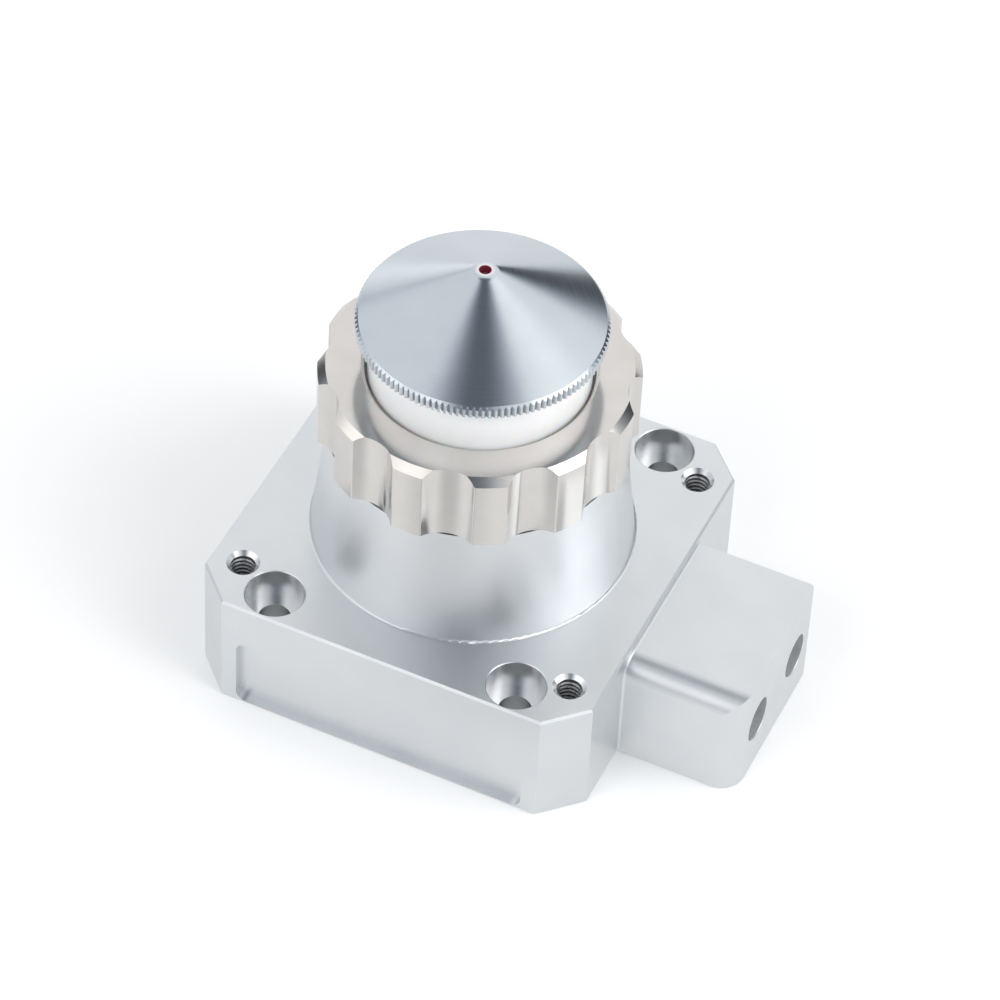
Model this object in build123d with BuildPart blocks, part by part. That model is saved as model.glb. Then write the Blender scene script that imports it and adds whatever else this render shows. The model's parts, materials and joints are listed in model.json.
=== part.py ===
from build123d import *
from math import cos, pi, sin, sqrt
import os

os.makedirs("parts", exist_ok=True)

# Nozzle end of a laser cutting head
# The origin is the centre of the flange's bottom face, on the beam axis.
# +Z runs along the beam to the nozzle's tip, and +X runs out of the block with the two ports.
# All sizes are in millimetres.

# Fits
press_fit = 0.01  # radial play left round a part that is pressed or brazed in
running_fit = 0.05  # radial play of a part that turns or slides
seat_gap = 0.02  # film between two seats that come apart

# How near an edge's radius or place must be to the one that is looked for
near = 0.01

# Flange
flange_side = 55.0
flange_t = 18.0
flange_corner = 5.0  # 45 degree cut across each corner
edge_break = 0.3  # small bevel on the outer edges
hole_break = 0.1  # finer bevel on the mouths of the holes

# Pocket in the front face
pocket_margin = 7.1  # from the pocket's ends to the flange's sides
pocket_h = 10.9
pocket_lip = 0.4  # height of the lip left under the pocket
pocket_depth = 1.1
pocket_corner_r = 1.5

# Block with the two ports
block_reach = 16.5  # how far the block stands out of the flange
block_w = 23.8
block_h = 16.9
block_shift = -1.0  # the block's middle lies this far off the beam axis
block_front_r = 3.2
block_rear_r = 0.8
block_top_r = 3.0  # rounding along the top front edge
block_root_r = 0.4  # cutter's rounding in the corner between block and flange

# Neck, threaded spigot and beam bore
neck_base_r = 21.1
neck_top_r = 19.1
neck_h = 17.5
neck_root_r = 0.4
thread_r = 17.5
thread_pitch = 1.5
thread_depth = 0.92
thread_crest_w = 0.15
thread_turns = 3
thread_runout = 0.6
spigot_h = 5.5
bore_r = 11.0
register_r = 15.0
register_h = 2.0

# Screw holes in the flange
mount_edge_x = 10.4  # from the flange's sides to the middle of each hole
mount_edge_y = 4.4
mount_hole_r = 2.15
mount_head_r = 3.9
mount_head_depth = 4.5
side_edge_x = 4.35
side_edge_y = 7.35
side_core_r = 1.65
side_mouth_r = 2.2
side_depth = 12.0

# Ports
port_r = 3.0
port_depth = 10.0
port_z = 8.5
port_spacing = 12.1
port_shift = -0.4  # the middle between the ports lies this far off the beam axis
gas_channel_r = 1.5

# Face seal under the flange
seal_inset = 2.5  # from the register's wall to the middle of the seal
seal_w = 1.9
seal_h = 1.45
seal_corner_r = 0.6
seal_groove_play = 0.15
seal_groove_h = 1.47

# Ceramic
ceramic_front_r = 14.25
ceramic_front_h = 9.2
ceramic_flange_play = 0.95  # between the ceramic's flange and the nut's bore
ceramic_flange_h = 3.4
ceramic_spigot_r = 12.5
ceramic_spigot_h = 7.5
ceramic_bore_r = 9.0
ceramic_edge_r = 0.4
socket_play = 0.08
socket_floor_gap = 0.3

# Rubber ring on the ceramic's spigot
ring_section_r = 0.9
ring_groove_w = 2.4
ring_drop = 4.0  # from the ceramic's seat down to the middle of the ring

# Threaded insert and nozzle
shank_r = 7.0
shank_undercut = 0.6
shank_undercut_h = 1.0
insert_wall = 2.45
insert_h = 11.1
rim_gap = 0.1
rim_r = 16.0
rim_h = 1.3
rim_bevel = 0.4
knurl_pitch = 0.8
knurl_groove_w = 0.56
knurl_depth = 0.34
cone_h = 8.2
nozzle_h = 15.0
nozzle_tip_r = 1.5
nozzle_tip_rounding = 1.3
nozzle_inlet_r = 5.4
orifice_r = 0.78
orifice_l = 1.2

# Lock nut
nut_wall = 3.0
nut_bevel = 1.0
nut_mouth_bevel = 0.45
nut_lip_play = 0.4  # between the nut's lip and the ceramic's front
nut_lip_h = 2.6
nut_foot_gap = 0.15
nut_flutes = 12
nut_flute_r = 4.75
nut_flute_depth = 1.6
nut_edge_r = 0.3  # rounding along both edges of each flute
nut_turn = -0.8  # degrees that the tight nut's first grip lies round from -Y

# Spring probe that carries the distance signal
probe_inset = 2.02  # from the socket's wall to the probe's axis
bush_r = 1.4
bush_h = 11.5
barrel_r = 0.85
barrel_bore_r = 0.6
barrel_floor_h = 1.5
barrel_drop = 0.2  # how far the barrel's mouth lies below the ceramic's seat
barrel_lip_h = 0.5
barrel_tail_r = 0.4
barrel_tail_h = 0.8
plunger_r = 0.45
plunger_collar_h = 1.0
plunger_reach = 0.92  # how far the plunger stands out of the seat
plunger_tip_r = 0.3
spring_wire_r = 0.1
spring_pitch = 0.68
spring_play = 0.075

# Contact in the ceramic's flange
contact_r = 1.0
contact_t = 0.3
contact_touch_gap = 0.1
contact_pocket_play = 0.15
contact_pin_r = 0.5
contact_pin_overrun = 1.0  # extra length at each end, cut off to fit
contact_pin_rise = 4.0  # height that the slanting pin gains on its way to the insert

# Signal wire and recessed socket
wire_r = 0.35
sleeve_r = 0.8
wire_bend_r = 2.5
wire_strip = 1.2
drop_channel_r = 1.3
cross_channel_r = 1.6
cross_overrun = 0.4  # how far the level channel is drilled past the upright one
socket_shell_r = 2.6
socket_shell_l = 6.2
socket_wall = 0.7
socket_insulator_l = 5.0
socket_contact_r = 0.48
socket_contact_l = 6.6
socket_contact_sink = 1.0
socket_contact_bevel = 0.192

# Locating pin
pin_r = 1.0
pin_bevel = 0.3
pin_sunk = 5.0
pin_proud = 1.9
pin_hole_play = 0.1
pin_hole_extra = 0.5

# Heights and places that follow from the sizes above
half_side = flange_side / 2
pocket_w = flange_side - 2 * pocket_margin
block_end_x = half_side + block_reach
mount_spacing_x = flange_side - 2 * mount_edge_x
mount_spacing_y = flange_side - 2 * mount_edge_y
side_spacing_x = flange_side - 2 * side_edge_x
side_spacing_y = flange_side - 2 * side_edge_y
seal_mid_r = register_r + seal_inset
nut_bore_r = thread_r + running_fit
nut_r = nut_bore_r + nut_wall
nut_lip_r = ceramic_front_r + nut_lip_play
ceramic_flange_r = nut_bore_r - ceramic_flange_play
shoulder_z = flange_t + neck_h
seat_z = shoulder_z + spigot_h
ceramic_z = seat_z + seat_gap
clamp_z = ceramic_z + ceramic_flange_h
ceramic_top_z = clamp_z + ceramic_front_h
insert_bore_r = shank_r + running_fit
insert_r = insert_bore_r + insert_wall
insert_z = ceramic_top_z - insert_h
rim_z = ceramic_top_z + rim_gap
cone_z = rim_z + rim_h + rim_bevel
tip_z = cone_z + cone_h
shank_z = tip_z - nozzle_h
socket_r = ceramic_spigot_r + socket_play
probe_mid_r = socket_r + probe_inset
socket_z = ceramic_z - ceramic_spigot_h - socket_floor_gap
ring_z = ceramic_z - ring_drop
signal_y = port_shift - port_spacing / 2
gas_y = port_shift + port_spacing / 2
port_floor_x = block_end_x - port_depth
socket_x = port_floor_x - socket_shell_l
probe_x = sqrt(probe_mid_r**2 - signal_y**2)
probe_y = signal_y
bush_z = seat_z - bush_h
cross_x = probe_x - drop_channel_r - cross_overrun
pocket_z = ceramic_z + plunger_reach - seat_gap + contact_touch_gap + contact_t

# Vertical planes of the signal wire and of the beam axis
wire_plane = Plane.XZ.offset(-signal_y)
axis_plane = Plane.XZ

# Port block, a plan and an end view that meet
with BuildPart() as port_block:
    with BuildSketch(Plane.XY) as block_plan:
        with Locations((block_end_x / 2, block_shift)):
            Rectangle(block_end_x, block_w)
        end_corners = block_plan.vertices().group_by(Axis.X)[-1].sort_by(Axis.Y)
        fillet(end_corners[0], block_front_r)
        end_corners = block_plan.vertices().group_by(Axis.X)[-1].sort_by(Axis.Y)
        fillet(end_corners[-1], block_rear_r)
    extrude(amount=block_h)
    with BuildSketch(Plane.YZ) as block_end:
        with Locations((block_shift, block_h / 2)):
            Rectangle(block_w, block_h)
        top_corners = block_end.vertices().group_by(Axis.Y)[-1].sort_by(Axis.X)
        fillet(top_corners[0], block_top_r)
    extrude(amount=block_end_x, mode=Mode.INTERSECT)

# Sensor body, one machined piece
with BuildPart() as sensor_body:
    with BuildSketch(Plane.XY) as flange_plan:
        Rectangle(flange_side, flange_side)
        chamfer(flange_plan.vertices(), flange_corner)
    extrude(amount=flange_t)
    chamfer(sensor_body.faces().sort_by(Axis.Z)[-1].edges(), edge_break)
    add(port_block.part)
    root_edges = sensor_body.edges().filter_by(lambda e: abs(e.center().X - half_side) < near)
    root_edges = root_edges.filter_by(lambda e: abs(e.center().Y - block_shift) < block_w / 2 + near)
    fillet(root_edges.filter_by(lambda e: e.center().Z < block_h + near), block_root_r)
    chamfer(sensor_body.faces().sort_by(Axis.Z)[0].outer_wire().edges(), edge_break)

    # Shallow pocket in the front face
    with BuildSketch(Plane.XZ.offset(half_side)) as pocket_view:
        with Locations((0, pocket_lip + pocket_h / 2)):
            Rectangle(pocket_w, pocket_h)
        fillet(pocket_view.vertices(), pocket_corner_r)
    extrude(amount=-pocket_depth, mode=Mode.SUBTRACT)

    # Neck and spigot, with the thread as plain grooves
    root_r = thread_r - thread_depth
    ridges_z = shoulder_z + thread_runout
    ridge_rise = (thread_pitch - thread_crest_w) / 2
    neck_line = [(0, 0), (neck_base_r, 0), (neck_base_r, flange_t)]
    neck_line += [(neck_top_r, shoulder_z), (root_r, shoulder_z)]
    for turn in range(thread_turns):
        ridge_z = ridges_z + turn * thread_pitch
        neck_line += [(root_r, ridge_z), (thread_r, ridge_z + ridge_rise)]
        neck_line += [(thread_r, ridge_z + ridge_rise + thread_crest_w)]
    neck_line += [(root_r, ridges_z + thread_turns * thread_pitch), (root_r, seat_z), (0, seat_z)]
    with BuildSketch(axis_plane):
        with BuildLine():
            Polyline(neck_line, close=True)
        make_face()
    revolve(axis=Axis.Z)
    neck_root = sensor_body.edges().filter_by(GeomType.CIRCLE)
    neck_root = neck_root.filter_by(lambda e: abs(e.radius - neck_base_r) < near)
    neck_root = neck_root.filter_by(lambda e: abs(e.center().Z - flange_t) < near)
    fillet(neck_root, neck_root_r)

    # Beam bore, ceramic's socket, register and seal groove, turned from one side
    groove_in_r = seal_mid_r - seal_w / 2 - seal_groove_play
    groove_out_r = seal_mid_r + seal_w / 2 + seal_groove_play
    with BuildSketch(axis_plane):
        with BuildLine():
            Polyline(
                (0, 0),
                (register_r, 0),
                (register_r, register_h),
                (bore_r, register_h),
                (bore_r, socket_z),
                (socket_r, socket_z),
                (socket_r, seat_z),
                (0, seat_z),
                close=True,
            )
        make_face()
        with Locations((seal_mid_r, seal_groove_h / 2)):
            Rectangle(groove_out_r - groove_in_r, seal_groove_h)
    revolve(axis=Axis.Z, mode=Mode.SUBTRACT)

    # Screw holes
    with Locations(Plane.XY.offset(flange_t)):
        with GridLocations(mount_spacing_x, mount_spacing_y, 2, 2):
            CounterBoreHole(mount_hole_r, mount_head_r, mount_head_depth)
        with GridLocations(side_spacing_x, side_spacing_y, 2, 2):
            CounterSinkHole(side_core_r, side_mouth_r, side_depth, 90)
    head_rims = sensor_body.edges().filter_by(GeomType.CIRCLE)
    head_rims = head_rims.filter_by(lambda e: abs(e.radius - mount_head_r) < near)
    chamfer(head_rims.group_by(Axis.Z)[-1], hole_break)

    # Ports and the channels behind them
    with BuildSketch(Plane.YZ.offset(port_floor_x)):
        with Locations((signal_y, port_z), (gas_y, port_z)):
            Circle(port_r)
    extrude(amount=port_depth, mode=Mode.SUBTRACT)
    port_rims = sensor_body.edges().filter_by(GeomType.CIRCLE)
    port_rims = port_rims.filter_by(lambda e: abs(e.radius - port_r) < near)
    chamfer(port_rims.group_by(Axis.X)[-1], hole_break)
    with BuildSketch(Plane.YZ):
        with Locations((gas_y, port_z)):
            Circle(gas_channel_r)
    extrude(amount=port_floor_x, mode=Mode.SUBTRACT)
    with BuildSketch(Plane.YZ.offset(socket_x)):
        with Locations((signal_y, port_z)):
            Circle(socket_shell_r + press_fit)
    extrude(amount=socket_shell_l, mode=Mode.SUBTRACT)
    with BuildSketch(Plane.YZ.offset(cross_x)):
        with Locations((signal_y, port_z)):
            Circle(cross_channel_r)
    extrude(amount=socket_x - cross_x, mode=Mode.SUBTRACT)
    with BuildSketch(Plane.XY.offset(port_z)):
        with Locations((probe_x, probe_y)):
            Circle(drop_channel_r)
    extrude(amount=bush_z - port_z, mode=Mode.SUBTRACT)
    with BuildSketch(Plane.XY.offset(bush_z)):
        with Locations((probe_x, probe_y)):
            Circle(bush_r + press_fit)
    extrude(amount=bush_h, mode=Mode.SUBTRACT)

    # Seat of the locating pin, across the axis from the probe
    with BuildSketch(Plane.XY.offset(seat_z - pin_sunk)):
        with Locations((-probe_x, -probe_y)):
            Circle(pin_r + press_fit)
    extrude(amount=pin_sunk, mode=Mode.SUBTRACT)
sensor_body.part.label = "sensor_body"
export_step(sensor_body.part, "parts/sensor_body.step")

# Face seal, as it lies when the flange is screwed down
with BuildPart() as face_seal:
    with BuildSketch(axis_plane):
        with Locations((seal_mid_r, seal_groove_h - seal_h / 2)):
            RectangleRounded(seal_w, seal_h, seal_corner_r)
    revolve(axis=Axis.Z)
face_seal.part.label = "face_seal"
export_step(face_seal.part, "parts/face_seal.step")

# Locating pin
with BuildPart() as locating_pin:
    with BuildSketch(Plane.XY.offset(seat_z - pin_sunk)):
        with Locations((-probe_x, -probe_y)):
            Circle(pin_r)
    extrude(amount=pin_sunk + pin_proud)
    chamfer(locating_pin.faces().sort_by(Axis.Z)[-1].edges(), pin_bevel)
locating_pin.part.label = "locating_pin"
export_step(locating_pin.part, "parts/locating_pin.step")

# Insulating bush of the probe
with BuildPart() as probe_bush:
    with BuildSketch(Plane.XY.offset(bush_z)):
        with Locations((probe_x, probe_y)):
            Circle(bush_r)
            Circle(barrel_r + press_fit, mode=Mode.SUBTRACT)
    extrude(amount=bush_h)
probe_bush.part.label = "probe_bush"
export_step(probe_bush.part, "parts/probe_bush.step")

# Barrel of the probe, closed below with a solder tail and crimped in at its mouth
barrel_top_z = seat_z - barrel_drop
barrel_lip_z = barrel_top_z - barrel_lip_h
barrel_floor_z = bush_z + barrel_floor_h
tail_z = bush_z - barrel_tail_h
probe_axis = Axis((probe_x, probe_y, 0), (0, 0, 1))
probe_plane = Plane(origin=(probe_x, probe_y, 0), x_dir=(1, 0, 0), z_dir=(0, -1, 0))
with BuildPart() as probe_barrel:
    with BuildSketch(probe_plane):
        with BuildLine():
            Polyline(
                (0, tail_z),
                (barrel_tail_r, tail_z),
                (barrel_tail_r, bush_z),
                (barrel_r, bush_z),
                (barrel_r, barrel_top_z),
                (plunger_r + running_fit, barrel_top_z),
                (plunger_r + running_fit, barrel_lip_z),
                (barrel_bore_r, barrel_lip_z),
                (barrel_bore_r, barrel_floor_z),
                (0, barrel_floor_z),
                close=True,
            )
        make_face()
    revolve(axis=probe_axis)
probe_barrel.part.label = "probe_barrel"
export_step(probe_barrel.part, "parts/probe_barrel.step")

# Plunger, held in by its collar under the barrel's lip
collar_top_z = barrel_lip_z - seat_gap
collar_z = collar_top_z - plunger_collar_h
plunger_top_z = seat_z + plunger_reach
with BuildPart() as probe_plunger:
    with BuildSketch(probe_plane):
        with BuildLine():
            Polyline(
                (0, collar_z),
                (barrel_bore_r - running_fit, collar_z),
                (barrel_bore_r - running_fit, collar_top_z),
                (plunger_r, collar_top_z),
                (plunger_r, plunger_top_z),
                (0, plunger_top_z),
                close=True,
            )
        make_face()
    revolve(axis=probe_axis)
    fillet(probe_plunger.faces().sort_by(Axis.Z)[-1].edges(), plunger_tip_r)
probe_plunger.part.label = "probe_plunger"
export_step(probe_plunger.part, "parts/probe_plunger.step")

# Spring under the plunger
spring_mid_r = barrel_bore_r - spring_play - spring_wire_r
spring_low_z = barrel_floor_z + spring_wire_r + seat_gap
spring_high_z = collar_z - spring_wire_r - seat_gap
with BuildPart() as probe_spring:
    with BuildLine() as coil:
        Helix(
            pitch=spring_pitch,
            height=spring_high_z - spring_low_z,
            radius=spring_mid_r,
            center=(probe_x, probe_y, spring_low_z),
        )
    with BuildSketch(Plane(origin=coil.line @ 0, z_dir=coil.line % 0)):
        Circle(spring_wire_r)
    sweep()
probe_spring.part.label = "probe_spring"
export_step(probe_spring.part, "parts/probe_spring.step")

# Signal wire, from the probe's tail down and out to the socket
contact_x = port_floor_x - socket_contact_sink - socket_contact_l
with BuildPart() as signal_wire:
    with BuildLine(wire_plane) as wire_path:
        FilletPolyline(
            (probe_x, tail_z),
            (probe_x, port_z),
            (contact_x, port_z),
            radius=wire_bend_r,
        )
    with BuildSketch(Plane(origin=(probe_x, probe_y, tail_z), z_dir=(0, 0, -1))):
        Circle(wire_r)
    sweep(path=wire_path.line)
signal_wire.part.label = "signal_wire"
export_step(signal_wire.part, "parts/signal_wire.step")

# Sleeve of the wire, stripped back at both ends
with BuildPart() as wire_sleeve:
    with BuildLine(wire_plane) as sleeve_path:
        FilletPolyline(
            (probe_x, tail_z - wire_strip),
            (probe_x, port_z),
            (contact_x - wire_strip, port_z),
            radius=wire_bend_r,
        )
    with BuildSketch(Plane(origin=(probe_x, probe_y, tail_z - wire_strip), z_dir=(0, 0, -1))):
        Circle(sleeve_r)
        Circle(wire_r + running_fit, mode=Mode.SUBTRACT)
    sweep(path=sleeve_path.line)
wire_sleeve.part.label = "wire_sleeve"
export_step(wire_sleeve.part, "parts/wire_sleeve.step")

# Recessed socket of the signal port, a shell, an insulator and a contact
shell_bore_r = socket_shell_r - socket_wall
with BuildPart() as socket_shell:
    with BuildSketch(Plane.YZ.offset(socket_x)):
        with Locations((signal_y, port_z)):
            Circle(socket_shell_r)
            Circle(shell_bore_r, mode=Mode.SUBTRACT)
    extrude(amount=socket_shell_l)
socket_shell.part.label = "socket_shell"
export_step(socket_shell.part, "parts/socket_shell.step")

with BuildPart() as socket_insulator:
    with BuildSketch(Plane.YZ.offset(socket_x)):
        with Locations((signal_y, port_z)):
            Circle(shell_bore_r - press_fit)
            Circle(socket_contact_r + press_fit, mode=Mode.SUBTRACT)
    extrude(amount=socket_insulator_l)
socket_insulator.part.label = "socket_insulator"
export_step(socket_insulator.part, "parts/socket_insulator.step")

with BuildPart() as socket_contact:
    with BuildSketch(Plane.YZ.offset(contact_x)):
        with Locations((signal_y, port_z)):
            Circle(socket_contact_r)
    extrude(amount=socket_contact_l)
    chamfer(socket_contact.faces().sort_by(Axis.X)[-1].edges(), socket_contact_bevel)
socket_contact.part.label = "socket_contact"
export_step(socket_contact.part, "parts/socket_contact.step")

# Slanting pin that joins the ceramic's contact to the threaded insert
reach_in = probe_mid_r - insert_r
pin_run = sqrt(reach_in**2 + contact_pin_rise**2)
to_axis = Vector(-probe_x / probe_mid_r, -probe_y / probe_mid_r, 0)
pin_way = to_axis * (reach_in / pin_run) + Vector(0, 0, contact_pin_rise / pin_run)
pin_start = Vector(probe_x, probe_y, pocket_z) - pin_way * contact_pin_overrun
pin_plane = Plane(origin=pin_start, z_dir=pin_way)
pin_sweep = pin_run + 2 * contact_pin_overrun

# Ceramic, turned in one piece
groove_floor_r = ceramic_spigot_r + running_fit - 2 * ring_section_r
with BuildPart() as ceramic_body:
    with BuildSketch(axis_plane):
        with BuildLine():
            Polyline(
                (ceramic_bore_r, ceramic_z - ceramic_spigot_h),
                (ceramic_spigot_r, ceramic_z - ceramic_spigot_h),
                (ceramic_spigot_r, ring_z - ring_groove_w / 2),
                (groove_floor_r, ring_z - ring_groove_w / 2),
                (groove_floor_r, ring_z + ring_groove_w / 2),
                (ceramic_spigot_r, ring_z + ring_groove_w / 2),
                (ceramic_spigot_r, ceramic_z),
                (ceramic_flange_r, ceramic_z),
                (ceramic_flange_r, clamp_z),
                (ceramic_front_r, clamp_z),
                (ceramic_front_r, ceramic_top_z),
                (insert_r + press_fit, ceramic_top_z),
                (insert_r + press_fit, insert_z),
                (ceramic_bore_r, insert_z),
                close=True,
            )
        make_face()
    revolve(axis=Axis.Z)
    fillet(ceramic_body.edges().group_by(Axis.Z)[-1].sort_by(SortBy.RADIUS)[-1], ceramic_edge_r)
    with BuildSketch(Plane.XY.offset(ceramic_z)):
        with Locations((probe_x, probe_y)):
            Circle(contact_r + contact_pocket_play)
    extrude(amount=pocket_z - ceramic_z, mode=Mode.SUBTRACT)
    with BuildSketch(Plane.XY.offset(ceramic_z)):
        with Locations((-probe_x, -probe_y)):
            Circle(pin_r + pin_hole_play)
    extrude(amount=pin_proud + pin_hole_extra, mode=Mode.SUBTRACT)
    with BuildSketch(pin_plane):
        Circle(contact_pin_r + press_fit)
    extrude(amount=pin_sweep, mode=Mode.SUBTRACT)
ceramic_body.part.label = "ceramic_body"
export_step(ceramic_body.part, "parts/ceramic_body.step")

# Contact disc on the roof of its pocket
with BuildPart() as contact_disc:
    with BuildSketch(Plane.XY.offset(pocket_z - contact_t)):
        with Locations((probe_x, probe_y)):
            Circle(contact_r)
    extrude(amount=contact_t)
contact_disc.part.label = "contact_disc"
export_step(contact_disc.part, "parts/contact_disc.step")

# The slanting pin itself, cut level above the disc and hollow to the insert's side
with BuildPart() as contact_pin:
    with BuildSketch(pin_plane):
        Circle(contact_pin_r)
    extrude(amount=pin_sweep)
    split(bisect_by=Plane.XY.offset(pocket_z), keep=Keep.TOP)
    with BuildSketch(Plane.XY.offset(pocket_z)):
        Circle(insert_r + press_fit)
    extrude(amount=ceramic_top_z - pocket_z, mode=Mode.SUBTRACT)
contact_pin.part.label = "contact_pin"
export_step(contact_pin.part, "parts/contact_pin.step")

# Rubber ring on the ceramic's spigot
with BuildPart() as ceramic_seal:
    with BuildSketch(axis_plane):
        with Locations((groove_floor_r + ring_section_r, ring_z)):
            Circle(ring_section_r)
    revolve(axis=Axis.Z)
ceramic_seal.part.label = "ceramic_seal"
export_step(ceramic_seal.part, "parts/ceramic_seal.step")

# Threaded insert of the ceramic
with BuildPart() as thread_insert:
    with BuildSketch(Plane.XY.offset(insert_z)):
        Circle(insert_r)
        Circle(insert_bore_r, mode=Mode.SUBTRACT)
    extrude(amount=insert_h)
thread_insert.part.label = "thread_insert"
export_step(thread_insert.part, "parts/thread_insert.step")

# Lock nut, turned and then fluted for the grip
nut_foot_z = shoulder_z + nut_foot_gap
nut_lip_z = clamp_z + seat_gap
nut_top_z = nut_lip_z + nut_lip_h
flute_mid_r = nut_r - nut_flute_depth + nut_flute_r
with BuildPart() as lock_nut:
    with BuildSketch(axis_plane):
        with BuildLine():
            Polyline(
                (nut_bore_r, nut_foot_z),
                (nut_r, nut_foot_z),
                (nut_r, nut_top_z - nut_bevel),
                (nut_r - nut_bevel, nut_top_z),
                (nut_lip_r + nut_mouth_bevel, nut_top_z),
                (nut_lip_r, nut_top_z - nut_mouth_bevel),
                (nut_lip_r, nut_lip_z),
                (nut_bore_r, nut_lip_z),
                close=True,
            )
        make_face()
    revolve(axis=Axis.Z)
    with BuildSketch(Plane.XY.offset(nut_foot_z)):
        first_flute = 180 / nut_flutes + nut_turn - 90
        with PolarLocations(flute_mid_r, nut_flutes, start_angle=first_flute):
            Circle(nut_flute_r)
    extrude(amount=nut_top_z - nut_foot_z, mode=Mode.SUBTRACT)
    fillet(lock_nut.edges().filter_by(Axis.Z), nut_edge_r)
lock_nut.part.label = "lock_nut"
export_step(lock_nut.part, "parts/lock_nut.step")

# Nozzle, a knurled rim on a threaded shank, with a cone outside and a cone inside
# The blank's rim is turned larger by the knurl's depth, and the knurl then cuts it to size.
knurl_teeth = round(2 * pi * rim_r / knurl_pitch)
tooth_turn = 2 * pi / knurl_teeth
half_groove_turn = knurl_groove_w / rim_r / 2
knurl_line = []
for tooth in range(knurl_teeth):
    groove = tooth * tooth_turn
    for turn, radius in (
        (groove - half_groove_turn, rim_r),
        (groove, rim_r - knurl_depth),
        (groove + half_groove_turn, rim_r),
    ):
        knurl_line.append((radius * cos(turn), radius * sin(turn)))
blank_r = rim_r + knurl_depth
with BuildPart() as nozzle:
    with BuildSketch(axis_plane):
        with BuildLine():
            Polyline(
                (0, shank_z),
                (shank_r, shank_z),
                (shank_r, rim_z - shank_undercut_h),
                (shank_r - shank_undercut, rim_z - shank_undercut_h),
                (shank_r - shank_undercut, rim_z),
                (blank_r, rim_z),
                (blank_r, rim_z + rim_h - knurl_depth),
                (rim_r - rim_bevel, cone_z),
                (nozzle_tip_r, tip_z),
                (0, tip_z),
                close=True,
            )
        make_face()
    revolve(axis=Axis.Z)
    fillet(nozzle.faces().sort_by(Axis.Z)[-1].edges(), nozzle_tip_rounding)
    with BuildSketch(Plane.XY.offset(shank_z)):
        with BuildLine():
            Polyline(knurl_line, close=True)
        make_face()
    extrude(amount=nozzle_h, mode=Mode.INTERSECT)
    with BuildSketch(axis_plane):
        with BuildLine():
            Polyline(
                (0, shank_z),
                (nozzle_inlet_r, shank_z),
                (orifice_r, tip_z - orifice_l),
                (orifice_r, tip_z),
                (0, tip_z),
                close=True,
            )
        make_face()
    revolve(axis=Axis.Z, mode=Mode.SUBTRACT)
nozzle.part.label = "nozzle"
export_step(nozzle.part, "parts/nozzle.step")
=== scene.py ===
# %% [markdown]
# # Nozzle end of a laser cutting head
# The head ends in a flanged aluminium body, a ceramic insulator under a fluted nut, and a turned
# nozzle. The imported model holds these pieces as solids at their real size. This script gives them
# the camera, the light and the finishes of the photograph, adds the fine threads that the solids
# leave plain, and puts a smooth copy of the probe's spring in the place of its solid. Nothing here
# moves or resizes a solid: the model is loaded first, and each later step only dresses it.

# %% Load the imported model
import json
import math

import bmesh
import bpy
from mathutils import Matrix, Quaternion, Vector


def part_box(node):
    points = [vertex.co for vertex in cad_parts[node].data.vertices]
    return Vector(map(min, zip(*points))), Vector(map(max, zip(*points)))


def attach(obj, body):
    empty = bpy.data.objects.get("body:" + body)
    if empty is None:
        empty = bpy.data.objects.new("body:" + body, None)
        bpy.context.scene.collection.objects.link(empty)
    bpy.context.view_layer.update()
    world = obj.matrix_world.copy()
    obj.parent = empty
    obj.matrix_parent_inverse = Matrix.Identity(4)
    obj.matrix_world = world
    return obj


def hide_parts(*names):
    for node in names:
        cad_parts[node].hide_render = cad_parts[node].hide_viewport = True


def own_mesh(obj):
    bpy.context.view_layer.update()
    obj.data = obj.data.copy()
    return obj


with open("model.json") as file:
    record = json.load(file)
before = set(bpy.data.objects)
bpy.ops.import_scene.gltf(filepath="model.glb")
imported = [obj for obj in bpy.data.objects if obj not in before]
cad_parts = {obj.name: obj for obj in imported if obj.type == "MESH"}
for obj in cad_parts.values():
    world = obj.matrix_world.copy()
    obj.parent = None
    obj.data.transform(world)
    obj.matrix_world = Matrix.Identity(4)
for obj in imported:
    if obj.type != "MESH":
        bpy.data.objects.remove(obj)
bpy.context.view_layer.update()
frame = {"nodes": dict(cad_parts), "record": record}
nodes = frame["nodes"]
record = frame["record"]
MM = 0.001


def in_mm(vector):
    """A place or a size in millimetres, rounded for printing."""
    return [round(value / MM, 2) for value in vector]


# %% [markdown]
# ## Camera
# A product photograph is taken from some way off with a long lens, so that parallel edges stay
# nearly parallel. A camera could be placed by typing its location and its three turns, but nobody
# can read those. Here it is described the way a photographer would: where it aims, how far away
# it stands, how far round and how high, and a slight roll. The azimuth starts at the front of the
# flange and grows towards the block with the ports.

# %% Camera at the photograph's angle
VIEW_AIM = Vector((-1.08, 11.31, 10.65)) * MM
VIEW_DISTANCE = 673.6 * MM
VIEW_AZIMUTH = 22.874
VIEW_ELEVATION = 46.886
VIEW_ROLL = 3.205
VIEW_LENS = 182.96


def way_to(azimuth, elevation):
    """The direction from the object towards a place that far round and that high, in degrees."""
    turn = math.radians(azimuth)
    rise = math.radians(elevation)
    level = math.cos(rise)
    return Vector((math.sin(turn) * level, -math.cos(turn) * level, math.sin(rise)))


def look_back(way):
    """The turn that points an object's -Z against that direction, with its Y axis up."""
    return (-way).to_track_quat("-Z", "Y")


camera = bpy.data.objects.new("camera", bpy.data.cameras.new("camera"))
camera.data.lens = VIEW_LENS
view_way = way_to(VIEW_AZIMUTH, VIEW_ELEVATION)
camera.location = VIEW_AIM + view_way * VIEW_DISTANCE
camera.rotation_mode = "QUATERNION"
roll = Quaternion((0, 0, 1), math.radians(VIEW_ROLL))
camera.rotation_quaternion = look_back(view_way) @ roll
bpy.context.scene.collection.objects.link(camera)
bpy.context.scene.camera = camera
print("Camera at", in_mm(camera.location), "mm")

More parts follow.
